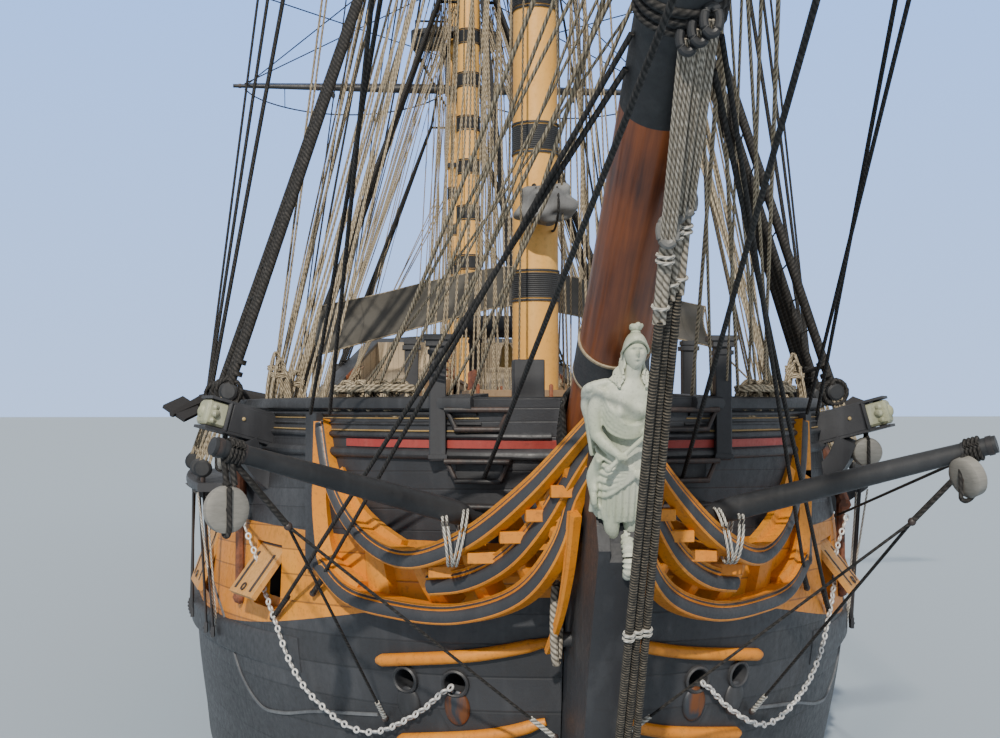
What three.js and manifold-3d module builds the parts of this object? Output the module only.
// A three-masted full-rigged ship of the 18th-century frigate type, afloat, as a scale model at half its real
// size.
// Every size below is in metres of the real ship, and the outer group brings them to millimetres at 1:2.
// Frame: origin at the waterline amidships on the centreline, bow towards -Y, starboard towards -X, +Z up.
import * as THREE from "three";
import { mergeVertices } from "three/addons/utils/BufferGeometryUtils.js";
import Module from "manifold-3d";

const wasm = await Module();
wasm.setup();

// Driving dimensions
const MODEL_SCALE = 0.5;
const MM_PER_M = 1000;
const SEAT = 0.0008; // gap between two pieces that touch, 0.4 mm on the model
const STEM_HALF = 0.17; // half thickness of keel, stem and sternpost
const KEEL_BOTTOM = -4.1;
const ENTRANCE = -6.7; // forward of this y the hull narrows to the bow
const RUN = 3.0; // aft of this y it narrows to the stern
const SHEER_LENGTH = 17.0; // distance from amidships over which a level gains its whole rise
const BULWARK = 0.9; // height of the rail above the weather deck
const GUN_DECK = 1.75;

// Hull levels from the keel up: height amidships, how much it rises at the bow and the stern, half-breadth,
// y of the bow end and of the stern end, two numbers for the fullness of the bow, half-breadth at the stern
const LEVELS = [
  [-3.7, 0, 0, 0.17, -14.6, 16.0, 2.0, 1.0, 0.17],
  [-3.3, 0.2, 0.5, 2.2, -15.1, 16.05, 1.6, 1.2, 0.17],
  [-2.2, 0.3, 0.6, 3.85, -15.7, 16.1, 1.8, 1.5, 0.17],
  [-1.0, 0.3, 0.6, 4.5, -16.3, 16.2, 2.0, 1.8, 0.17],
  [0.3, 0.3, 0.8, 4.68, -16.8, 16.3, 2.0, 2.0, 0.4],
  [1.5, 0.6, 1.4, 4.75, -17.2, 17.0, 2.1, 2.1, 2.4],
  [2.7, 0.6, 1.6, 4.6, -17.4, 17.6, 2.1, 2.1, 2.9],
  [3.75, 0.35, 1.8, 4.22, -17.5, 18.2, 2.2, 2.3, 2.9],
  [4.6, 0.05, 2.0, 4.05, -17.6, 18.6, 2.2, 2.3, 2.8],
].map(([z, bowRise, sternRise, half, bow, stern, p, q, aft]) => (
  { z, bowRise, sternRise, half, bow, stern, p, q, aft }
));
const AFT_FULLNESS = 2.2; // how late the sides draw in towards the stern
const RAIL = LEVELS.at(-1);

// Joining and cutting: geometries become closed solids and back
const V = (x, y, z) => new THREE.Vector3(x, y, z);
const clamp = THREE.MathUtils.clamp;
const rad = THREE.MathUtils.degToRad;

function solid(geometry) {
  const bare = new THREE.BufferGeometry();
  const source = geometry.index ? geometry.toNonIndexed() : geometry;
  bare.setAttribute("position", source.getAttribute("position").clone());
  const merged = mergeVertices(bare, 1e-5);
  const vertProperties = merged.attributes.position.array;
  const build = (triVerts) => new wasm.Manifold(new wasm.Mesh({ numProp: 3, vertProperties, triVerts }));
  const faces = new Uint32Array(merged.index.array);
  const made = build(faces);
  if (made.volume() > 0) return made;
  for (let i = 0; i < faces.length; i += 3) [faces[i + 1], faces[i + 2]] = [faces[i + 2], faces[i + 1]];
  return build(faces);
}

const join = (...pieces) => pieces.reduce((all, piece) => all.add(piece));
const cut = (piece, ...tools) => tools.reduce((left, tool) => left.subtract(tool), piece);

function surface(made) {
  const mesh = made.getMesh();
  const geometry = new THREE.BufferGeometry();
  geometry.setAttribute("position", new THREE.BufferAttribute(new Float32Array(mesh.vertProperties), 3));
  geometry.setIndex(new THREE.BufferAttribute(new Uint32Array(mesh.triVerts), 1));
  return geometry;
}

// Shapes
const box = (x, y, z, at = [0, 0, 0]) => solid(new THREE.BoxGeometry(x, y, z).translate(...at));

// A round bar between two points, as thick at each end as the two radii say.
function bar(from, to, radius, endRadius = radius, sides = 10) {
  const along = to.clone().sub(from);
  const shape = new THREE.CylinderGeometry(endRadius, radius, along.length(), sides);
  const turn = new THREE.Quaternion().setFromUnitVectors(V(0, 1, 0), along.clone().normalize());
  return shape.applyQuaternion(turn).translate(...from.clone().addScaledVector(along, 0.5));
}

// A turned piece about Z from a profile of radius and height, closed on the axis.
const turned = (profile, sides) =>
  new THREE.LatheGeometry(profile.map(([r, z]) => new THREE.Vector2(r, z)), sides).rotateX(Math.PI / 2);

// A flat plate: an outline in y and z, as thick across as twice the half width.
function plate(outline, half, x = 0) {
  const shape = new THREE.Shape(outline.map(([y, z]) => new THREE.Vector2(y, z)));
  return standing(shape, half, x);
}

function standing(shape, half, x = 0) {
  const flat = new THREE.ExtrudeGeometry(shape, { depth: 2 * half, bevelEnabled: false, curveSegments: 8 });
  const stand = new THREE.Matrix4().makeBasis(V(0, 1, 0), V(0, 0, 1), V(1, 0, 0));
  return flat.applyMatrix4(stand).translate(x - half, 0, 0);
}

// A closed skin over rings that run the same way round; each end is closed by strips across its ring.
function loft(rings) {
  const n = rings[0].length;
  const faces = [];
  for (let i = 0; i + 1 < rings.length; i++)
    for (let j = 0; j < n; j++) {
      const [a, b] = [i * n + j, i * n + ((j + 1) % n)];
      // the second half of a ring is the mirror image of the first, and so are its diagonals
      if (j < n / 2) faces.push(a, b, b + n, a, b + n, a + n);
      else faces.push(a, b, a + n, b, b + n, a + n);
    }
  const last = (rings.length - 1) * n;
  for (let k = 0; k < n / 2 - 1; k++) {
    const [a, b, c, d] = [k, k + 1, n - 2 - k, n - 1 - k];
    faces.push(a, c, b, a, d, c, last + a, last + b, last + c, last + a, last + c, last + d);
  }
  const skin = new THREE.BufferGeometry();
  const coordinates = rings.flat().flatMap((p) => p.toArray());
  skin.setAttribute("position", new THREE.Float32BufferAttribute(coordinates, 3));
  skin.setIndex(faces);
  return skin;
}

// A rail of rectangular section along a smooth line; side gives its outward direction at a share of its
// length.
function rail(points, width, height, steps, side = () => V(-1, 0, 0)) {
  const line = new THREE.CatmullRomCurve3(points);
  const rings = [];
  for (let i = 0; i <= steps; i++) {
    const share = i / steps;
    const out = side(share).normalize();
    const up = line.getTangent(share).cross(out).normalize();
    const at = line.getPoint(share);
    const corner = (a, b) =>
      at.clone().addScaledVector(out, (a * width) / 2).addScaledVector(up, (b * height) / 2);
    rings.push([corner(-1, -1), corner(1, -1), corner(1, 1), corner(-1, 1)]);
  }
  return loft(rings);
}

const mirrored = (geometry) => geometry.clone().applyMatrix4(new THREE.Matrix4().makeScale(-1, 1, 1));

// Hull lines
function levelAt(level, y) {
  const ahead = clamp((ENTRANCE - y) / (ENTRANCE - level.bow), 0, 1);
  const behind = clamp((y - RUN) / (level.stern - RUN), 0, 1);
  const forward = level.half * (1 - ahead ** level.p) ** (1 / level.q);
  const b = y < ENTRANCE ? forward : level.aft + (level.half - level.aft) * (1 - behind ** AFT_FULLNESS);
  const rise = (y < 0 ? level.bowRise : level.sternRise) * (Math.abs(y) / SHEER_LENGTH) ** 2;
  return { b: Math.max(b, STEM_HALF), z: level.z + rise };
}

const BOW_STEPS = 9;
const MID_STEPS = 2;
const AFT_STEPS = 7;
const HULL_STEPS = BOW_STEPS + MID_STEPS + AFT_STEPS;

function levelY(level, step) {
  const quarterTurn = Math.PI / 2;
  if (step <= BOW_STEPS) return ENTRANCE + (level.bow - ENTRANCE) * Math.cos((step / BOW_STEPS) * quarterTurn);
  if (step <= BOW_STEPS + MID_STEPS) return ENTRANCE + ((RUN - ENTRANCE) * (step - BOW_STEPS)) / MID_STEPS;
  const share = (step - BOW_STEPS - MID_STEPS) / AFT_STEPS;
  return RUN + (level.stern - RUN) * share ** 0.85;
}

function hullPoint(level, step) {
  const y = levelY(level, step);
  const { b, z } = levelAt(level, y);
  return V(-b, y, z);
}

// The starboard point of a level at a step, moved outwards by grow.
function grownPoint(level, step, grow) {
  const point = hullPoint(level, step);
  if (!grow) return point;
  const before = hullPoint(level, Math.max(step - 1, 0));
  const after = hullPoint(level, Math.min(step + 1, HULL_STEPS));
  const along = after.sub(before).setZ(0).normalize();
  point.add(V(-along.y, along.x, 0).multiplyScalar(grow));
  if (step === HULL_STEPS) point.y += grow;
  if (level === LEVELS[0]) point.z -= grow;
  return point;
}

function hullSkin(grow) {
  const rings = [];
  for (let step = 0; step <= HULL_STEPS; step++) {
    const starboard = LEVELS.map((level) => grownPoint(level, step, grow));
    const port = starboard.map((p) => V(-p.x, p.y, p.z)).reverse();
    rings.push([...starboard, ...port]);
  }
  return solid(loft(rings));
}

// Half-breadth of the hull at a place, straight between its levels.
function sideAt(y, z) {
  for (let i = 1; i < LEVELS.length; i++) {
    const low = levelAt(LEVELS[i - 1], y);
    const high = levelAt(LEVELS[i], y);
    if (z <= high.z || i === LEVELS.length - 1)
      return low.b + (high.b - low.b) * clamp((z - low.z) / (high.z - low.z), 0, 1);
  }
}

const railZ = (y) => levelAt(RAIL, y).z;
const deckZ = (y) => railZ(y) - BULWARK;

// A frame on the starboard side at a place: t along the side towards the stern, u up it, n outwards.
function sideFrame(y, z) {
  const spot = (yy, zz) => V(-sideAt(yy, zz), yy, zz);
  const t = spot(y + 0.4, z).sub(spot(y - 0.4, z)).setZ(0).normalize();
  const rise = spot(y, z + 0.3).sub(spot(y, z - 0.3));
  const n = t.clone().cross(rise).multiplyScalar(-1).normalize();
  if (n.x > 0) n.negate();
  const u = n.clone().cross(t).normalize();
  if (u.z < 0) u.negate();
  return { at: spot(y, z), t, u, n };
}

const outerHull = hullSkin(0.0012);

// Masts: y where the axis meets the waterline plane, rake in degrees, radius at the deck, heights along the
// mast of the lower yard, top, cap, topmast crosstrees, topmast cap and truck, width of the top.
const MASTS = [
  ["fore", -13.3, 0.6, 0.28, 15.0, 16.7, 19.0, 25.8, 27.2, 37.0, 3.6],
  ["main", 2.9, 1.1, 0.3, 15.9, 17.6, 20.1, 27.6, 29.1, 39.5, 3.9],
  ["mizzen", 12.1, 2.0, 0.21, 14.7, 16.4, 18.2, 24.2, 25.3, 33.5, 2.8],
].map(([name, y, rake, radius, yard, top, cap, trees, upperCap, truck, topWidth]) => {
  const group = new THREE.Group();
  group.position.set(0, y, 0);
  group.rotation.x = -rad(rake);
  group.updateMatrixWorld(true);
  return { name, y, rake, radius, yard, top, cap, trees, upperCap, truck, topWidth, group };
});
const MAST_SIDES = 12;
const mastHeel = (mast) => deckZ(mast.y) - 0.25;
const inShip = (geometry, mast) => geometry.clone().applyMatrix4(mast.group.matrixWorld);

// Bowsprit axis
const STEEVE = rad(38.5);
const BOWSPRIT_AT = V(0, -17.4, 3.7); // where the axis crosses the stem
const BOWSPRIT_DIR = V(0, -Math.cos(STEEVE), Math.sin(STEEVE));
const BOWSPRIT_RADIUS = 0.29;
const BOWSPRIT_HEEL = -1.6; // distances along the axis from the stem
const BOWSPRIT_END = 11.4;
const onBowsprit = (distance, above = 0) =>
  BOWSPRIT_AT.clone()
    .addScaledVector(BOWSPRIT_DIR, distance)
    .add(V(0, Math.sin(STEEVE) * above, Math.cos(STEEVE) * above));

// Catheads: square beams through the bulwark, one on each bow
const CATHEAD_IN = V(-2.15, -14.1, 4.02);
const CATHEAD_OUT = V(-3.86, -15.15, 4.56);
const CATHEAD_SIZE = 0.4;

function catheadBeam(extra) {
  const along = CATHEAD_OUT.clone().sub(CATHEAD_IN);
  const size = CATHEAD_SIZE + 2 * extra;
  const beam = new THREE.BoxGeometry(along.length() + 2 * extra, size, size);
  const x = along.clone().normalize();
  const z = V(0, 0, 1).addScaledVector(x, -x.z).normalize();
  const y = z.clone().cross(x);
  return beam
    .applyMatrix4(new THREE.Matrix4().makeBasis(x, y, z))
    .translate(...CATHEAD_IN.clone().addScaledVector(along, 0.5));
}

// Gun ports: y of each port's middle, its width and height, and how far its lid stands open, in degrees. The
// small bridle port is in the bow, and the waist ports, with a 0, have no lid.
const PORT_Z = 2.72;
const BRIDLE = [0.5, 0.48];
const GUN = [0.86, 0.84];
const PORT_DEPTH = 0.5;
const REBATE = 0.1; // width of the ledge round the opening, which the lid closes against
const LID_THICK = 0.07;
const LID_PROUD = 0.012; // the closed lid's face stands this far out from its hinge axis
const LID_SUNK = 0.062; // and the axis lies this far inside the hull's surface
const PORTS = [
  [-15.0, BRIDLE, 35], [-12.3, GUN, 12], [-9.7, GUN, 0], [-7.0, GUN, 0], [-4.3, GUN, 0], [-1.6, GUN, 0],
  [1.1, GUN, 0], [3.9, GUN, 0], [6.7, GUN, 12], [9.5, GUN, 12], [12.3, GUN, 12],
].map(([y, [wide, high], lid]) => (
  { y, wide, high, lid, z: PORT_Z + (y > 0 ? 1.5 : 0.08) * (y / SHEER_LENGTH) ** 2 }
));

const portMatrix = ({ at, t, u, n }) => new THREE.Matrix4().makeBasis(t, u, n).setPosition(at);

// The recess of one starboard port: an opening, and round it a flat ledge that the lid closes against.
function portRecess({ y, z, wide, high, lid }) {
  const frame = sideFrame(y, z);
  const place = portMatrix(frame);
  const opening = new THREE.BoxGeometry(wide, high, 2 * PORT_DEPTH).applyMatrix4(place);
  if (!lid) return [opening];
  const depth = LID_SUNK + LID_THICK - LID_PROUD + 0.02;
  const ledge = new THREE.BoxGeometry(wide + 2 * REBATE, high + 2 * REBATE, 0.6);
  return [opening, ledge.translate(0, 0, 0.3 - depth).applyMatrix4(place)];
}

// Space over the weather deck inside the bulwarks
function overDeck(y0, y1, steps, wall) {
  const rings = [];
  for (let i = 0; i <= steps; i++) {
    const y = y0 + ((y1 - y0) * i) / steps;
    const floor = deckZ(y);
    const top = railZ(y);
    const low = Math.max(sideAt(y, floor) - wall, 0.2);
    const high = Math.max(sideAt(y, top) - wall, 0.2);
    rings.push([V(-low, y, floor), V(-high, y, top + 0.3), V(high, y, top + 0.3), V(low, y, floor)]);
  }
  return solid(loft(rings));
}

// Hull: planked body with its weather deck, the waist well down to the gun deck, and the gun ports
const WALL = 0.3;
const WAIST = { y0: -8.2, y1: 0.9, half: 2.7 };
const HELM_AXIS = 16.52;
const HAWSE_HOLES = [[-16.94, 2.03], [-16.68, 2.02]]; // y and z of the two on each bow
const HAWSE_RADIUS = 0.105;

function hullBody() {
  const tools = [overDeck(-16.85, 17.9, 18, WALL)];
  tools.push(box(2 * WAIST.half, WAIST.y1 - WAIST.y0, 4, [0, (WAIST.y0 + WAIST.y1) / 2, GUN_DECK + 2]));
  for (const shape of PORTS.flatMap(portRecess)) tools.push(solid(shape), solid(mirrored(shape)));
  for (const mast of MASTS) {
    const r = mast.radius + SEAT;
    const well = turned([[0, mastHeel(mast) - SEAT], [r, mastHeel(mast) - SEAT], [r, 9], [0, 9]], MAST_SIDES);
    tools.push(solid(inShip(well, mast)));
  }
  const heel = onBowsprit(BOWSPRIT_HEEL - SEAT);
  tools.push(solid(bar(heel, onBowsprit(4), BOWSPRIT_RADIUS + 0.002, BOWSPRIT_RADIUS + 0.002, 16)));
  for (const shape of [catheadBeam(SEAT), mirrored(catheadBeam(SEAT))]) tools.push(solid(shape));
  tools.push(solid(bar(V(0, HELM_AXIS, 0.9), V(0, HELM_AXIS, 2.75), 0.17, 0.17, 12)));
  for (const [y, z] of HAWSE_HOLES) {
    const { at, n } = sideFrame(y, z);
    const [inside, outside] = [-0.5, 0.4].map((far) => at.clone().addScaledVector(n, far));
    const hole = bar(inside, outside, HAWSE_RADIUS, HAWSE_RADIUS, 10);
    tools.push(solid(hole), solid(mirrored(hole)));
  }
  return cut(hullSkin(0), ...tools);
}

// Fittings whose feet go through the deck: fore bitts, the two timberheads and rail at the forecastle's fore
// end, the capstan's step and the main hatch coaming; and two posts on the bow, up past the rail
const BITTS_Y = -12.0;
const BREAST_Y = -14.9;
const CAPSTAN_Y = 6.2;
const STEP_HIGH = 0.06;
const BOW_POST = { x: 1.3, y: -17.24, low: 4.08, top: 5.17, wide: 0.15 };

function fixedFittings() {
  const bitts = [-0.75, 0.75].map((x) => box(0.22, 0.22, 1.4, [x, BITTS_Y, deckZ(BITTS_Y) + 0.3]));
  const bittsBeam = box(2.1, 0.2, 0.2, [0, BITTS_Y, deckZ(BITTS_Y) + 0.6]);
  const headProfile = [
    [0, -0.3], [0.1, -0.3], [0.1, 1.42], [0.15, 1.46], [0.15, 1.54], [0.11, 1.58], [0, 1.58],
  ];
  const heads = [-1.52, 1.52].map((x) =>
    solid(turned(headProfile, 4).rotateZ(Math.PI / 4).translate(x, BREAST_Y, deckZ(BREAST_Y))));
  const breastRail = box(3.2, 0.12, 0.14, [0, BREAST_Y, deckZ(BREAST_Y) + 0.75]);
  const step = solid(turned([[0, -0.4], [0.6, -0.4], [0.6, STEP_HIGH], [0, STEP_HIGH]], 16)
    .translate(0, CAPSTAN_Y, deckZ(CAPSTAN_Y)));
  const hatch = box(1.7, 2.4, 0.5, [0, -3.4, GUN_DECK + 0.02]);
  const { x: postX, y: postY, low, top, wide } = BOW_POST;
  const posts = [-postX, postX].flatMap((x) => [
    box(wide, wide, top - low, [x, postY, (low + top) / 2]),
    box(wide + 0.06, wide + 0.06, 0.1, [x, postY, top]),
  ]);
  return [...bitts, bittsBeam, ...heads, breastRail, step, hatch, ...posts];
}

const hull = join(hullBody(), ...fixedFittings());
const raisedHull = solid(surface(hull).translate(0, 0, SEAT));
const offHull = (piece) => cut(piece, outerHull);
const onDeck = (piece) => cut(piece, raisedHull);

// Keel, forefoot and sternpost in one, with the rudder's gudgeons
const GUDGEONS = [-3.0, -1.4, 0.2];
const GUDGEON_HIGH = 0.12;
const POST_AFT = 16.3;

function keel() {
  const line = plate([
    [-14.9, -3.4], [-14.9, -3.75], [-14.4, KEEL_BOTTOM], [16.25, KEEL_BOTTOM],
    [POST_AFT, -4.0], [POST_AFT, 1.35], [15.7, 1.35], [15.7, -3.4],
  ], STEM_HALF);
  const gudgeons = GUDGEONS.map((z) => {
    const eye = solid(bar(V(0, HELM_AXIS, z - GUDGEON_HIGH), V(0, HELM_AXIS, z), 0.13, 0.13, 12));
    const strap = box(0.2, HELM_AXIS - POST_AFT + 0.02, GUDGEON_HIGH,
      [0, (HELM_AXIS + POST_AFT) / 2 - 0.01, z - GUDGEON_HIGH / 2]);
    const hole = solid(bar(V(0, HELM_AXIS, z - 0.3), V(0, HELM_AXIS, z + 0.3), 0.065, 0.065, 10));
    return cut(join(eye, strap), hole);
  });
  return join(offHull(solid(line)), ...gudgeons);
}

// Rudder about the sternpost: a round stock, a blade behind it, and pintles that stand on the gudgeons
const STOCK = 0.13;

function rudder() {
  const stock = solid(bar(V(0, 0, -3.95), V(0, 0, 2.6), STOCK, STOCK, 12));
  const outline = [[0, -3.95], [1.25, -3.95], [1.2, -2.4], [0.85, 0.1], [0.62, 0.75], [0, 0.9]];
  const blade = solid(plate(outline, 0.1));
  const notches = GUDGEONS.map((z) =>
    solid(bar(V(0, 0, z - GUDGEON_HIGH - 0.03), V(0, 0, z + SEAT), 0.2, 0.2, 12)));
  const pintles = GUDGEONS.map((z) =>
    solid(bar(V(0, 0, z - GUDGEON_HIGH - 0.1), V(0, 0, z + 0.1), 0.045, 0.045, 8)));
  return join(cut(join(stock, blade), ...notches), ...pintles);
}

// Knee of the head: the cutwater ahead of the stem, whose top carries the figurehead under the bowsprit
function kneeOfHead() {
  const shape = new THREE.Shape();
  shape.moveTo(-19.32, 3.5);
  shape.bezierCurveTo(-17.9, 1.2, -17.5, -2.2, -14.6, KEEL_BOTTOM);
  shape.lineTo(-14.3, -3.5);
  shape.lineTo(-16.5, 0.5);
  shape.lineTo(-17.0, 3.35);
  shape.lineTo(-18.2, 4.12);
  shape.lineTo(-18.95, 4.4);
  shape.lineTo(-19.1, 3.9);
  return cut(offHull(solid(standing(shape, STEM_HALF - 0.01))), bowspritSpace());
}

const bowspritSpace = () =>
  solid(bar(onBowsprit(-3), onBowsprit(6), BOWSPRIT_RADIUS + 0.002, BOWSPRIT_RADIUS + 0.002, 16));

// Figurehead: a standing draped figure with a crested helmet, leaning forward over the knee.
// It is made upright, feet at the origin, and then leant.
const FIGURE_FEET = V(0, -19.2, 3.76);
const FIGURE_LEAN = rad(20);

function figureBody() {
  const robe = solid(turned([
    [0, 0], [0.17, 0.02], [0.23, 0.2], [0.2, 0.5], [0.15, 0.68],
    [0.21, 0.92], [0.23, 1.04], [0.08, 1.13], [0, 1.15],
  ], 10).scale(1, 0.85, 1));
  const head = solid(new THREE.SphereGeometry(0.11, 8, 6).scale(0.85, 1, 1.2).translate(0, -0.02, 1.27));
  const neck = solid(bar(V(0, 0, 1.05), V(0, -0.02, 1.27), 0.065, 0.06, 6));
  const crestLine = [[-0.1, 1.36], [-0.06, 1.46], [0.02, 1.48], [0.11, 1.42], [0.15, 1.28], [0.06, 1.3]];
  const crest = solid(plate(crestLine, 0.025));
  const arms = [-1, 1].map((side) => {
    const shoulder = V(side * 0.19, 0, 1.02);
    const elbow = V(side * 0.23, -0.06, 0.78);
    const hand = V(side * 0.04 - 0.02, -0.24, 0.68);
    return join(solid(bar(shoulder, elbow, 0.062, 0.055, 6)), solid(bar(elbow, hand, 0.056, 0.042, 6)));
  });
  const staff = solid(bar(V(-0.02, -0.2, 0.64), V(0.22, -0.22, 0.84), 0.02, 0.02, 4));
  return join(robe, head, neck, crest, ...arms, staff);
}

function figurehead() {
  const leant = surface(figureBody()).rotateX(FIGURE_LEAN).translate(...FIGURE_FEET);
  const scroll = solid(plate([[-19.36, 3.85], [-19.2, 3.85], [-19.24, 3.55], [-19.3, 3.3], [-19.38, 3.3],
    [-19.42, 3.55]], 0.07));
  return cut(join(solid(leant), scroll), bowspritSpace());
}

const figureheadBody = figurehead();
const kneeBody = cut(kneeOfHead(), solid(surface(figureheadBody).translate(0, 0.0012, 0)), figureheadBody);
const backbone = join(keel(), kneeBody);

// Head rails: three a side, swinging from the bow up to the figurehead, tied by upright timbers
const HEAD_RAILS = [
  [[-2.38, -16.05, 4.4], [-2.27, -16.27, 3.85], [-1.99, -16.75, 3.41], [-1.55, -17.4, 3.23],
    [-1.07, -17.95, 3.44], [-0.56, -18.45, 3.91], [-0.25, -18.76, 4.3]],
  [[-1.34, -17.35, 3.0], [-1.07, -17.62, 3.06], [-0.7, -18.03, 3.3], [-0.43, -18.35, 3.67],
    [-0.24, -18.6, 4.05]],
  [[-2.4, -16.1, 3.06], [-2.14, -16.45, 2.82], [-1.64, -17.0, 2.73], [-1.05, -17.55, 2.77],
    [-0.55, -18.05, 3.04], [-0.3, -18.4, 3.5], [-0.22, -18.55, 3.85]],
];

function headRails() {
  const rails = HEAD_RAILS.map((points) =>
    solid(rail(points.map((p) => V(...p)), 0.13, 0.17, 8, (share) => V(-1, -0.9 + 0.5 * share, 0))));
  const bracket = solid(bar(V(-2.42, -16.02, 4.45), V(-2.4, -16.08, 2.95), 0.14, 0.12, 4));
  const upper = new THREE.CatmullRomCurve3(HEAD_RAILS[0].map((p) => V(...p)));
  const lower = new THREE.CatmullRomCurve3(HEAD_RAILS[2].map((p) => V(...p)));
  const timbers = [0.3, 0.45, 0.6, 0.75, 0.88].map((share) =>
    solid(bar(upper.getPoint(share), lower.getPoint(share - 0.03), 0.08, 0.07, 4)));
  const ends = solid(bar(V(-0.23, -18.78, 4.25), V(-0.21, -18.5, 3.5), 0.06, 0.06, 4));
  const middle = solid(bar(V(-1.34, -17.35, 3.03), V(-1.32, -17.3, 2.7), 0.08, 0.08, 4));
  return cut(offHull(join(...rails, bracket, ...timbers, ends, middle)),
    solid(surface(kneeBody).translate(-SEAT, 0, 0)), kneeBody,
    solid(surface(figureheadBody).translate(-0.001, 0.001, 0)), figureheadBody, bowspritSpace());
}

// Masts
function topPlatform(width, z) {
  const half = width / 2;
  const shape = new THREE.Shape();
  shape.moveTo(-half, 0.34 * width);
  shape.lineTo(half, 0.34 * width);
  shape.lineTo(half, -0.1 * width);
  shape.quadraticCurveTo(half * 0.86, -0.4 * width, 0, -0.42 * width);
  shape.quadraticCurveTo(-half * 0.86, -0.4 * width, -half, -0.1 * width);
  const boards = new THREE.ExtrudeGeometry(shape, { depth: 0.09, bevelEnabled: false, curveSegments: 4 });
  return boards.translate(0, 0, z);
}

const HOOPS = [6.4, 8.6, 10.8, 13.0]; // heights of the iron hoops round a lower mast
const HOOP = 0.035; // how far a hoop stands proud
const HOOP_HIGH = 0.11;

// Radius of a lower mast's shaft at a height along it
function shaftRadius(mast, z) {
  return mast.radius * (1 - 0.12 * clamp((z - 6) / (mast.top - 6), 0, 1));
}

function shaftProfile(mast, hoops) {
  const points = [[0, mastHeel(mast)], [mast.radius, mastHeel(mast)]];
  for (const z of hoops) {
    const r = shaftRadius(mast, z);
    points.push([r, z - HOOP_HIGH], [r + HOOP, z - HOOP_HIGH], [r + HOOP, z], [r, z]);
  }
  const head = 0.74 * mast.radius;
  const crown = mast.cap + 0.12;
  points.push([shaftRadius(mast, mast.top), mast.top - 0.05], [head, mast.top + 0.02]);
  points.push([head, crown], [0, crown]);
  return points;
}

const topmastRadius = (mast) => 0.66 * mast.radius;
const topmastOffset = (mast) => -(0.76 * mast.radius + topmastRadius(mast) + 0.03);
const gallantRadius = (mast) => 0.42 * mast.radius;
const gallantOffset = (mast) =>
  topmastOffset(mast) - (0.8 * topmastRadius(mast) + gallantRadius(mast) + 0.03);

function topmastProfile(mast, grow) {
  const r = topmastRadius(mast);
  const head = mast.upperCap + 0.1 + grow;
  return [[0, mast.top - 0.45 - grow], [r + grow, mast.top - 0.45 - grow], [r + grow, mast.cap + 1.2],
    [0.78 * r + grow, mast.trees - 0.1], [0.78 * r + grow, head], [0, head]];
}

function gallantProfile(mast, grow) {
  const r = gallantRadius(mast);
  return [[0, mast.trees - 0.3 - grow], [r + grow, mast.trees - 0.3 - grow], [r + grow, mast.upperCap + 0.9],
    [0.42 * r + grow, mast.truck - 0.14], [r * 0.9 + grow, mast.truck - 0.12], [r * 0.9 + grow, mast.truck],
    [0, mast.truck]];
}

const THRUST_BELOW = 0.07; // a yard's collar reaches this far below the yard's own height

function lowerMast(mast, bands) {
  const hoops = HOOPS.filter((z) => z < mast.yard - 0.8 && bands.every((band) => Math.abs(band - z) > 0.5));
  const all = [...hoops, ...bands].sort((a, b) => a - b);
  const shaft = solid(turned(shaftProfile(mast, all), MAST_SIDES));
  const width = mast.topWidth;
  const trestles = [-1, 1].map((side) =>
    box(0.12, 0.72 * width, 0.26, [side * (0.78 * mast.radius + 0.02), -0.06 * width, mast.top - 0.12]));
  const cheeks = [-1, 1].map((side) =>
    box(0.12, 0.5, 1.1, [side * (shaftRadius(mast, mast.top) + 0.02), 0, mast.top - 0.7]));
  const trees = [-0.24, 0.22].map((y) => box(0.96 * width, 0.13, 0.1, [0, y * width, mast.top - 0.02]));
  const platform = solid(topPlatform(width, mast.top));
  const lubberHole = box(2.7 * mast.radius, 0.42 * width, 0.6, [0, -0.02 * width, mast.top + 0.1]);
  const offset = topmastOffset(mast);
  const cap = box(2.4 * mast.radius, -offset + 2.6 * mast.radius, 0.3, [0, offset / 2, mast.cap]);
  const whole = join(cut(platform, lubberHole), shaft, ...trestles, ...cheeks, ...trees, cap);
  const heel = solid(turned(topmastProfile(mast, SEAT), MAST_SIDES).translate(0, offset, 0));
  return cut(whole, heel);
}

function topmast(mast) {
  const offset = topmastOffset(mast);
  const upper = gallantOffset(mast);
  const pole = solid(turned(topmastProfile(mast, 0), MAST_SIDES).translate(0, offset, 0));
  const r = topmastRadius(mast);
  const trestles = [-1, 1].map((side) =>
    box(0.09, 1.3, 0.16, [side * (0.75 * r + 0.01), (offset + upper) / 2, mast.trees]));
  const trees = [-0.4, 0, 0.4].map((y) =>
    box(0.42 * mast.topWidth, 0.08, 0.08, [0, offset + y, mast.trees + 0.11]));
  const cap = box(2.4 * r, offset - upper + 2.4 * r, 0.2, [0, (offset + upper) / 2, mast.upperCap]);
  const heel = solid(turned(gallantProfile(mast, SEAT), 12).translate(0, upper, 0));
  return cut(join(pole, ...trestles, ...trees, cap), heel);
}

const gallantMast = (mast) => solid(turned(gallantProfile(mast, 0), 12).translate(0, gallantOffset(mast), 0));

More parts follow.
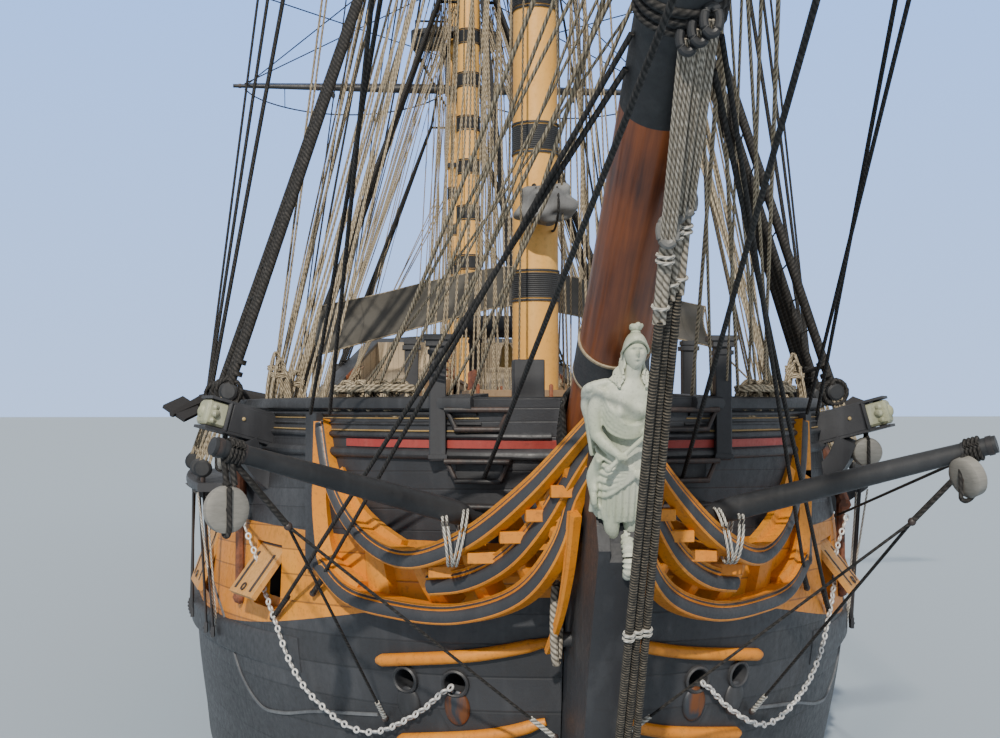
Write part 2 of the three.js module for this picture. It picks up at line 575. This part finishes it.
// Yards: a spar that tapers to both arms, and the collar that holds it to its mast
function yard(half, radius, mastRadius, below) {
  const forward = -(mastRadius + radius + 0.14);
  const profile = [[0, -half], [0.42 * radius, -half], [0.62 * radius, -0.72 * half], [radius, -0.25 * half],
    [radius, 0.25 * half], [0.62 * radius, 0.72 * half], [0.42 * radius, half], [0, half]];
  const spar = solid(turned(profile, 8).rotateY(Math.PI / 2).translate(0, forward, 0));
  const inner = mastRadius + 0.02;
  const outer = mastRadius + 0.075;
  const collar = solid(turned([[inner, -below], [outer, -below], [outer, THRUST_BELOW], [inner, THRUST_BELOW],
    [inner, -below]], 10));
  const arms = [-1, 1].map((side) => box(0.07, -forward - mastRadius, 0.1,
    [side * (mastRadius * 0.5), (forward - mastRadius) / 2 - 0.02, 0]));
  const bore = solid(turned([[0, -1], [inner, -1], [inner, 1], [0, 1]], 12));
  return join(spar, collar, ...arms.map((arm) => cut(arm, bore)));
}

// Gaff and boom: spars aft of the mizzen with jaws as a collar
function sparAft(length, radius, riseDegrees, mastRadius) {
  const inner = mastRadius + 0.02;
  const outer = inner + 0.07;
  const foot = [[inner, -THRUST_BELOW], [outer, -THRUST_BELOW]];
  const head = [[outer, THRUST_BELOW], [inner, THRUST_BELOW]];
  const collar = solid(turned([...foot, ...head, foot[0]], 12));
  const tilt = rad(riseDegrees);
  const end = V(0, mastRadius + length * Math.cos(tilt), length * Math.sin(tilt));
  const spar = solid(bar(V(0, mastRadius - 0.06, -0.06 * Math.tan(tilt)), end, radius, 0.5 * radius, 10));
  const clear = mastRadius + HOOP + 0.01;
  const bore = solid(turned([[0, -1], [clear, -1], [clear, 1], [0, 1]], 12));
  return join(cut(spar, bore), collar);
}

// Bowsprit and jib-boom
const JIB_ABOVE = 0.52;
const JIB_FROM = 6.6;
const JIB_TO = 21.9;
const JIB_RADIUS = 0.16;
const JIB_TIP = 0.06;

// A block square to the bowsprit: across, up and along it, at a distance and height on it
function onBowspritBlock(across, up, along, distance, above) {
  const tilt = new THREE.Matrix4().makeBasis(
    V(1, 0, 0), V(0, Math.sin(STEEVE), Math.cos(STEEVE)).negate(), BOWSPRIT_DIR.clone().negate());
  const block = new THREE.BoxGeometry(across, up, along).applyMatrix4(tilt);
  return solid(block.translate(...onBowsprit(distance, above)));
}

function bowsprit() {
  const head = onBowsprit(BOWSPRIT_END);
  const spar = solid(bar(onBowsprit(BOWSPRIT_HEEL), head, BOWSPRIT_RADIUS, 0.8 * BOWSPRIT_RADIUS, 16));
  const capBlock = onBowspritBlock(0.6, 1.2, 0.26, BOWSPRIT_END - 0.1, 0.28);
  const saddle = onBowspritBlock(0.46, 0.5, 0.3, JIB_FROM + 0.2, 0.22);
  const bees = onBowspritBlock(0.9, 0.1, 1.2, BOWSPRIT_END - 1.1, 0.12);
  const strikerFoot = V(0, head.y + 0.1, head.z - 2.9);
  const striker = solid(bar(onBowsprit(BOWSPRIT_END - 0.1, -0.1), strikerFoot, 0.09, 0.06, 8));
  const jib = solid(bar(onBowsprit(JIB_FROM - SEAT, JIB_ABOVE), onBowsprit(JIB_TO, JIB_ABOVE),
    JIB_RADIUS + 0.0015, JIB_TIP + 0.0015, 12));
  return cut(join(spar, capBlock, saddle, bees, striker), jib);
}

const jibBoom = () =>
  solid(bar(onBowsprit(JIB_FROM, JIB_ABOVE), onBowsprit(JIB_TO, JIB_ABOVE), JIB_RADIUS, JIB_TIP, 12));

// Main stays, from each masthead down to the deck or mast ahead
const STAY_RADIUS = 0.055;

// The stay starts under the fore edge of the top and ends against what it is set up to, cut to both seats.
const stayTop = (mast) =>
  V(0, -0.24 * mast.topWidth - 0.03, mast.top - 0.1).applyMatrix4(mast.group.matrixWorld);
const MAIN_STAY_FOOT = V(0, -11.95, deckZ(-12) + 0.62);

function stay(mast, masthead, foot, footPiece) {
  const rope = solid(bar(stayTop(mast), foot, STAY_RADIUS, STAY_RADIUS, 6));
  const apart = (piece, y) => [piece, solid(surface(piece).translate(0, y, 0))];
  return cut(rope, ...apart(masthead, -SEAT), ...apart(footPiece, SEAT));
}

// Wale and channels with their deadeyes and chain plates. Of each channel: y of its two ends, its height,
// and the y of each deadeye, clear of the ports
const CHANNELS = [
  [-13.7, -10.3, 3.62, [-13.5, -13.1, -11.6, -11.25, -10.9, -10.5]],
  [2.3, 5.9, 3.72, [2.5, 2.95, 3.35, 4.5, 4.9, 5.3, 5.7]],
  [13.0, 14.9, 4.62, [13.2, 13.7, 14.2, 14.7]],
];
const CHANNEL_WIDTH = 0.62;
const WALE_Z = 1.62;
const waleZ = (y) => WALE_Z + (y < 0 ? 0.5 : 1.35) * (y / SHEER_LENGTH) ** 2;

const WALE_HIGH = 0.36;
const WALE_PROUD = 0.09;
const WALE_FROM = -16.9;
const WALE_TO = 15.0;
const WALE_FADE = 1.6; // over this length from the stem the wale swells to its full thickness
const WALE_STEPS = 20; // closer together towards the bow, where the side turns in

function wale() {
  const rings = [];
  for (let i = 0; i <= WALE_STEPS; i++) {
    const y = WALE_FROM + (WALE_TO - WALE_FROM) * (i / WALE_STEPS) ** 1.7;
    const proud = WALE_PROUD * clamp(0.3 + (y - WALE_FROM) / WALE_FADE, 0, 1);
    const low = sideFrame(y, waleZ(y) - WALE_HIGH / 2);
    const up = sideFrame(y, waleZ(y) + WALE_HIGH / 2);
    rings.push([
      low.at.clone().addScaledVector(low.n, -0.25), low.at.clone().addScaledVector(low.n, proud),
      up.at.clone().addScaledVector(up.n, proud), up.at.clone().addScaledVector(up.n, -0.25),
    ]);
  }
  return solid(loft(rings));
}

function channels() {
  const pieces = [wale()];
  for (const [y0, y1, z, deadeyes] of CHANNELS) {
    const rings = [y0, (y0 + y1) / 2, y1].map((y) => {
      const inside = -(sideAt(y, z) - 0.2);
      const outside = -(sideAt(y, z) + CHANNEL_WIDTH);
      const [low, high] = [z - 0.05, z + 0.05];
      return [V(inside, y, low), V(outside, y, low), V(outside, y, high), V(inside, y, high)];
    });
    pieces.push(solid(loft(rings)));
    for (const y of deadeyes) {
      const edge = -(sideAt(y, z) + CHANNEL_WIDTH - 0.08);
      const low = sideFrame(y, waleZ(y));
      const foot = low.at.clone().addScaledVector(low.n, 0.06);
      // one flat iron from the wale up through the channel's edge, with a round deadeye on its head
      const half = 0.035;
      const outline = [
        [foot.x - half, foot.z - 0.05], [foot.x + half, foot.z - 0.05], [edge + half, z + 0.04],
        [edge + 0.12, z + 0.14], [edge + 0.12, z + 0.27], [edge, z + 0.35], [edge - 0.12, z + 0.27],
        [edge - 0.12, z + 0.14], [edge - half, z + 0.04],
      ];
      const shape = new THREE.Shape(outline.map(([x, up]) => new THREE.Vector2(x, up)));
      const iron = new THREE.ExtrudeGeometry(shape, { depth: 0.08, bevelEnabled: false });
      pieces.push(solid(iron.rotateX(Math.PI / 2).translate(0, y + 0.04, 0)));
    }
  }
  return offHull(join(...pieces));
}

// Cathead with its knee below
function cathead() {
  const knee = plate([[-15.0, 4.25], [-14.6, 3.6], [-14.45, 3.6], [-14.45, 4.25]], 0.16, -3.25);
  return join(solid(catheadBeam(0)), offHull(solid(knee)));
}

// Anchor hung under the cathead, its iron stock upright and its flukes level, the inner arm on the rail
const ANCHOR_RING = V(-3.37, -14.62, 3.45);
const ANCHOR_CROWN = V(-3.86, -11.45, 4.71);
const ARM = 0.8;
const STOCK_FROM = 2.45; // heights of the stock's two ends
const STOCK_TO = 4.5;

function anchor() {
  const along = ANCHOR_CROWN.clone().sub(ANCHOR_RING).normalize();
  const across = along.clone().cross(V(0, 0, 1)).normalize();
  const shank = bar(ANCHOR_RING, ANCHOR_CROWN, 0.07, 0.11, 8);
  const arms = [-1, 1].flatMap((side) => {
    const onArm = (back, out) =>
      ANCHOR_CROWN.clone().addScaledVector(along, -back).addScaledVector(across, side * out * ARM);
    const [bend, tip] = [onArm(0.22, 0.55), onArm(0.7, 1)];
    const turn = new THREE.Quaternion().setFromUnitVectors(V(0, 1, 0), tip.clone().sub(bend).normalize());
    const palm = new THREE.BoxGeometry(0.05, 0.4, 0.36).applyQuaternion(turn);
    palm.translate(...tip.clone().lerp(bend, 0.4));
    return [solid(bar(ANCHOR_CROWN, bend, 0.1, 0.085, 5)), solid(bar(bend, tip, 0.085, 0.04, 5)), solid(palm)];
  });
  const stockAt = ANCHOR_RING.clone().addScaledVector(along, 0.3);
  const stock = solid(bar(stockAt.clone().setZ(STOCK_FROM), stockAt.clone().setZ(STOCK_TO), 0.05, 0.05, 8));
  const knob = solid(new THREE.SphereGeometry(0.08, 8, 6).translate(stockAt.x, stockAt.y, STOCK_FROM));
  return onDeck(offHull(join(solid(shank), ...arms, stock, knob)));
}

// Boomkin: a round spar from the bow out over the head rails, to spread the fore tack
const boomkin = () => offHull(solid(bar(V(-0.2, -17.25, 3.36), V(-2.97, -19.0, 4.3), 0.115, 0.095, 10)));

// Stern: windows and taffrail over the counter, and a gallery on each quarter
const STERN_LEAN = 0.36; // how far aft the stern windows lean for each metre of height

function sternGallery() {
  const outline = [
    [17.3, 3.6], [17.72, 3.5], [18.62, 6.0], [18.95, 7.0], [18.75, 7.0], [18.3, 6.2], [17.3, 5.0],
  ];
  const slab = plate(outline, 2.55);
  const light = new THREE.BoxGeometry(0.72, 0.3, 1.05)
    .rotateX(-Math.atan(STERN_LEAN))
    .translate(0, 18.15, 4.75);
  const lights = [-2, -1, 0, 1, 2].map((i) => solid(light.clone().translate(i * 0.96, 0, 0)));
  return cut(offHull(solid(slab)), ...lights);
}

function quarterGallery() {
  // Levels of the gallery: height, how far it stands out, y of its fore and after ends
  const levels = [
    [2.5, 0.02, 16.3, 16.5], [3.1, 0.42, 15.4, 17.0], [3.45, 0.62, 15.0, 17.4],
    [4.7, 0.55, 15.1, 17.6], [4.85, 0.62, 15.0, 17.7], [5.4, 0.1, 15.7, 17.4],
  ];
  const rings = levels.map(([z, out, y0, y1]) => {
    const base = -(sideAt((y0 + y1) / 2, z) - 0.35);
    const edge = base - 0.35 - out;
    return [V(base, y0, z), V(edge, y0 + 0.15, z), V(edge, y1 - 0.15, z), V(base, y1, z)];
  });
  const body = solid(loft(rings));
  const face = -(sideAt(16.2, 4.1) + 0.62);
  const panes = [15.55, 16.2, 16.85].map((y) => box(0.16, 0.46, 0.95, [face, y, 4.08]));
  return cut(offHull(body), ...panes);
}

// Deck fittings
const WHEEL_Y = 10.4;

function capstan() {
  const barrel = solid(turned([
    [0, 0], [0.5, 0], [0.5, 0.14], [0.34, 0.2], [0.26, 0.62],
    [0.34, 0.86], [0.46, 0.9], [0.5, 1.16], [0.42, 1.24], [0, 1.24],
  ], 16));
  const whelps = Array.from({ length: 5 }, (_, i) =>
    solid(new THREE.BoxGeometry(0.12, 0.2, 0.66).translate(0, 0.34, 0.52).rotateZ((i * 2 * Math.PI) / 5)));
  const sockets = Array.from({ length: 4 }, (_, i) =>
    solid(new THREE.BoxGeometry(0.11, 0.3, 0.11).translate(0, 0.46, 1.03).rotateZ(((i + 0.5) * Math.PI) / 2)));
  return cut(join(barrel, ...whelps), ...sockets);
}

function steeringWheel() {
  const rim = solid(turned([[0.5, -0.05], [0.6, -0.05], [0.6, 0.05], [0.5, 0.05], [0.5, -0.05]], 20));
  const hub = solid(turned([[0, -0.1], [0.14, -0.1], [0.14, 0.1], [0, 0.1]], 10));
  const spokes = Array.from({ length: 10 }, (_, i) =>
    solid(bar(V(0, 0, 0), V(0, 0.82, 0), 0.032, 0.026, 4).rotateZ((i * 2 * Math.PI) / 10)));
  return solid(surface(join(rim, hub, ...spokes)).rotateX(Math.PI / 2));
}

const WHEEL_HIGH = 1.08;

function wheelStand() {
  const z = deckZ(WHEEL_Y);
  const posts = [0.55, 1.35].map((y) =>
    plate([[y - 0.09, -0.3], [y + 0.09, -0.3], [y + 0.07, 1.3], [y - 0.07, 1.3]], 0.16));
  const barrel = bar(V(0, 0.1 + SEAT, WHEEL_HIGH), V(0, 1.5, WHEEL_HIGH), 0.19, 0.19, 12);
  const sill = new THREE.BoxGeometry(0.5, 1.2, 0.4).translate(0, 0.95, -0.1);
  const local = join(...posts.map(solid), solid(barrel), solid(sill));
  return onDeck(solid(surface(local).translate(0, WHEEL_Y, z)));
}

function belfryAndBitts() {
  const y = -8.9;
  const z = deckZ(y);
  const posts = [-0.5, 0.5].map((x) => box(0.18, 0.18, 2.3, [x, y, z + 0.85]));
  const roof = plate([[y - 0.32, z + 1.95], [y, z + 2.25], [y + 0.32, z + 1.95]], 0.72);
  const beam = box(1.3, 0.16, 0.16, [0, y, z + 0.75]);
  const bell = turned([[0, 1.45], [0.15, 1.45], [0.11, 1.62], [0.07, 1.76], [0.05, 1.95], [0, 1.95]], 10)
    .translate(0, y, z);
  return onDeck(join(...posts, solid(roof), beam, solid(bell)));
}

// Waist: skid beams across the well with two boats on them, and a hatch on the gun deck
const SKIDS = [-6.6, -4.4, -2.2, -0.4];
const SKID = { deep: 0.22, wide: 0.2, overlap: 0.45, z: deckZ(-3.5) + 0.1 };
const CHOCK_DEEP = 0.1; // the bearer along the beams, under each boat's keel
const LONGBOAT_X = -1.05;
const CUTTER_X = 1.15;
const BOATS_ON = SKID.z + SKID.deep / 2 + CHOCK_DEEP - 0.01; // height that the boats' bottoms rest on

function skidBeams() {
  const across = 2 * (WAIST.half + SKID.overlap);
  const beams = SKIDS.map((y) => box(across, SKID.wide, SKID.deep, [0, y, SKID.z]));
  const middle = (SKIDS.at(-1) + SKIDS[0]) / 2;
  const bearers = [LONGBOAT_X, CUTTER_X].map((x) =>
    box(0.14, SKIDS.at(-1) - SKIDS[0], CHOCK_DEEP, [x, middle, BOATS_ON - CHOCK_DEEP / 2]));
  return onDeck(join(...beams, ...bearers));
}

// An open boat: a double-curved shell with its bottom on a keel line at height z
function boat(x, z, half, y0, y1, deep) {
  const steps = 10;
  const shell = (inset) => {
    const rings = [];
    for (let i = 0; i <= steps; i++) {
      const share = i / steps;
      const y = y0 + inset + (y1 - y0 - 2 * inset) * share;
      const full = Math.sin(Math.PI * clamp(0.06 + 0.8 * share, 0, 1)) ** 0.6;
      const b = Math.max(half * full - inset, 0.06);
      const sheer = deep + 0.25 * (2 * share - 1) ** 2;
      const floor = inset * 1.3;
      const top = inset ? sheer + 0.2 : sheer;
      const bilge = z + 0.35 * deep + 0.5 * floor;
      const port = [V(0.3 * b, y, z + floor), V(0.85 * b, y, bilge), V(b, y, z + top)];
      const starboard = port.map((p) => V(-p.x, p.y, p.z));
      rings.push([...starboard, ...port.reverse()].map((p) => p.setX(p.x + x)));
    }
    return solid(loft(rings));
  };
  const thwarts = [0.28, 0.45, 0.62, 0.78].map((share) =>
    box(1.7 * half, 0.2, 0.05, [x, y0 + (y1 - y0) * share, z + 0.72 * deep]));
  const inside = shell(0.06);
  const outside = shell(0);
  return join(cut(outside, inside), ...thwarts.map((thwart) => thwart.intersect(outside)));
}

// Awning: a sheet spread over the main stay behind the foremast
const AWNING = { y0: -11.0, y1: -9.7, half: 3.1, thick: 0.03, drop: 0.5 };

function awning(mainStay) {
  const slope = stayTop(MASTS[1]).sub(MAIN_STAY_FOOT);
  const ridge = (y) => MAIN_STAY_FOOT.z + ((y - MAIN_STAY_FOOT.y) * slope.z) / slope.y + 1.3 * STAY_RADIUS;
  const rings = [];
  for (let i = 0; i <= 8; i++) {
    const share = i / 4 - 1;
    const x = AWNING.half * share;
    const drop = AWNING.drop * share ** 2;
    const edge = (y, up) => V(x, y, ridge(y) - drop * (y === AWNING.y0 ? 1.3 : 1) + up);
    const { y0, y1, thick } = AWNING;
    rings.push([edge(y0, 0), edge(y1, 0), edge(y1, thick), edge(y0, thick)]);
  }
  return cut(solid(loft(rings)), mainStay, solid(surface(mainStay).translate(0, 0, SEAT)));
}

// Gun-port lid, hung from the top of its port: its own X axis is the hinge, Y up and Z outwards when closed
const BARREL = 0.022;

function portLid(port) {
  const wide = port.wide + 2 * REBATE - 0.03;
  const high = port.high + 2 * REBATE - 0.04;
  const board = box(wide, high, LID_THICK, [0, -high / 2 - 0.005, LID_PROUD - LID_THICK / 2]);
  const barrel = solid(bar(V(-0.42 * wide, 0, 0), V(0.42 * wide, 0, 0), BARREL, BARREL, 8));
  return join(board, barrel);
}

// The ship
const ship = new THREE.Group();
ship.scale.setScalar(MODEL_SCALE * MM_PER_M);
for (const mast of MASTS) ship.add(mast.group);

const FINISHES = {
  slate: ["#3a404c", 0.55], ochre: ["#cd8723", 0.5], buff: ["#d7a055", 0.45], black: ["#17181a", 0.5],
  varnish: ["#5a2413", 0.35], figure: ["#a9b49b", 0.6], deck: ["#a58a63", 0.7], iron: ["#3b3531", 0.6, 0.6],
  canvas: ["#4a4a40", 0.9], rope: ["#2a2520", 0.9],
};

function add(name, made, finish, parent = ship) {
  const [color, roughness, metalness = 0] = FINISHES[finish];
  const material = new THREE.MeshStandardMaterial({ color, roughness, metalness, flatShading: true });
  const mesh = new THREE.Mesh(surface(made), material);
  mesh.name = name;
  parent.add(mesh);
  return mesh;
}

function addBothSides(name, made, finish) {
  add("starboard_" + name, made, finish);
  add("port_" + name, solid(mirrored(surface(made))), finish);
}

// A turning axis: a group whose own Z is the axis of the joint
function pivot(parent, at) {
  const group = new THREE.Group();
  group.position.copy(at);
  parent.add(group);
  return group;
}

add("hull", hull, "slate");
add("keel_knee_and_sternpost", backbone, "slate");
add("figurehead", figureheadBody, "figure");
addBothSides("head_rails", headRails(), "ochre");
addBothSides("channels", channels(), "black");
addBothSides("cathead", cathead(), "slate");
addBothSides("anchor", anchor(), "iron");
addBothSides("boomkin", boomkin(), "black");
addBothSides("quarter_gallery", quarterGallery(), "ochre");
add("stern_gallery", sternGallery(), "ochre");

const [fore, main, mizzen] = MASTS;
const BOOM_Z = 7.6;
const GAFF_Z = 12.3;
for (const mast of MASTS) {
  const bands = [mast.yard - THRUST_BELOW - SEAT];
  if (mast === mizzen) bands.push(BOOM_Z - THRUST_BELOW - SEAT, GAFF_Z - THRUST_BELOW - SEAT);
  mast.lower = lowerMast(mast, bands);
  mast.lowerInShip = solid(inShip(surface(mast.lower), mast));
  add(mast.name + "_lower_mast", mast.lower, "buff", mast.group);
  add(mast.name + "_topmast", topmast(mast), "buff", mast.group);
  add(mast.name + "_topgallant_mast", gallantMast(mast), "buff", mast.group);
}

// Yards: mast, name, half length, radius, and which spar of the mast carries it
const YARDS = [
  [fore, "fore_yard", 8.6, 0.19, "lower"], [fore, "fore_topsail_yard", 6.4, 0.14, "topmast"],
  [fore, "fore_topgallant_yard", 4.4, 0.09, "gallant"], [main, "main_yard", 9.75, 0.21, "lower"],
  [main, "main_topsail_yard", 7.2, 0.15, "topmast"], [main, "main_topgallant_yard", 4.9, 0.1, "gallant"],
  [mizzen, "crossjack_yard", 7.05, 0.14, "lower"], [mizzen, "mizzen_topsail_yard", 5.0, 0.1, "topmast"],
  [mizzen, "mizzen_topgallant_yard", 3.5, 0.075, "gallant"],
];
for (const [mast, name, half, radius, carrier] of YARDS) {
  const below = carrier === "lower" ? THRUST_BELOW : radius + 0.03; // an upper yard lies over the cap
  const [y, z, mastRadius] = {
    lower: [0, mast.yard, shaftRadius(mast, mast.yard)],
    topmast: [topmastOffset(mast), mast.cap + 0.15 + below + SEAT, topmastRadius(mast)],
    gallant: [gallantOffset(mast), mast.upperCap + 0.1 + below + SEAT, gallantRadius(mast)],
  }[carrier];
  add(name, yard(half, radius, mastRadius, below), "black", pivot(mast.group, V(0, y, z)));
}
add("gaff", sparAft(6.4, 0.12, 35, shaftRadius(mizzen, GAFF_Z)), "buff", pivot(mizzen.group, V(0, 0, GAFF_Z)));
add("boom", sparAft(7.9, 0.15, 3, shaftRadius(mizzen, BOOM_Z)), "buff", pivot(mizzen.group, V(0, 0, BOOM_Z)));

const bowspritBody = bowsprit();
add("bowsprit", bowspritBody, "varnish");
add("jib_boom", jibBoom(), "black");
add("fore_stay", stay(fore, fore.lowerInShip, onBowsprit(6.0, 0.2), bowspritBody), "rope");
const mainStay = stay(main, main.lowerInShip, MAIN_STAY_FOOT, hull);
add("main_stay", mainStay, "rope");
add("mizzen_stay", stay(mizzen, mizzen.lowerInShip, V(0, 3.1, 7.6), main.lowerInShip), "rope");
add("rudder", rudder(), "slate", pivot(ship, V(0, HELM_AXIS, 0)));

add("capstan", capstan(), "varnish", pivot(ship, V(0, CAPSTAN_Y, deckZ(CAPSTAN_Y) + STEP_HIGH + SEAT)));
add("wheel_stand", wheelStand(), "varnish");
add("steering_wheel", steeringWheel(), "varnish", pivot(ship, V(0, WHEEL_Y, deckZ(WHEEL_Y) + WHEEL_HIGH)));
add("belfry", belfryAndBitts(), "slate");
add("skid_beams", skidBeams(), "deck");
add("longboat", boat(LONGBOAT_X, BOATS_ON + SEAT, 0.95, -7.0, 0.2, 0.75), "deck");
add("awning", awning(mainStay), "canvas");
add("cutter", boat(CUTTER_X, BOATS_ON + SEAT, 0.75, -6.4, -0.6, 0.62), "ochre");

PORTS.filter((port) => port.lid).forEach((port, i) => {
  const { at, t, u, n } = sideFrame(port.y, port.z);
  const hinge = at.clone()
    .addScaledVector(u, port.high / 2 + REBATE - BARREL - 0.001)
    .addScaledVector(n, -LID_SUNK);
  for (const side of ["starboard", "port"]) {
    const mirror = side === "port" ? V(-1, 1, 1) : V(1, 1, 1);
    const [tt, uu, nn] = [t, u, n].map((v) => v.clone().multiply(mirror));
    const x = side === "port" ? tt : tt.clone().negate();
    const group = pivot(ship, hinge.clone().multiply(mirror));
    group.setRotationFromMatrix(new THREE.Matrix4().makeBasis(x, uu, nn));
    const swing = new THREE.Group();
    swing.rotation.x = -rad(port.lid);
    group.add(swing);
    add(`${side}_port_lid_${i + 1}`, portLid(port), "ochre", swing);
  }
});

export default ship;
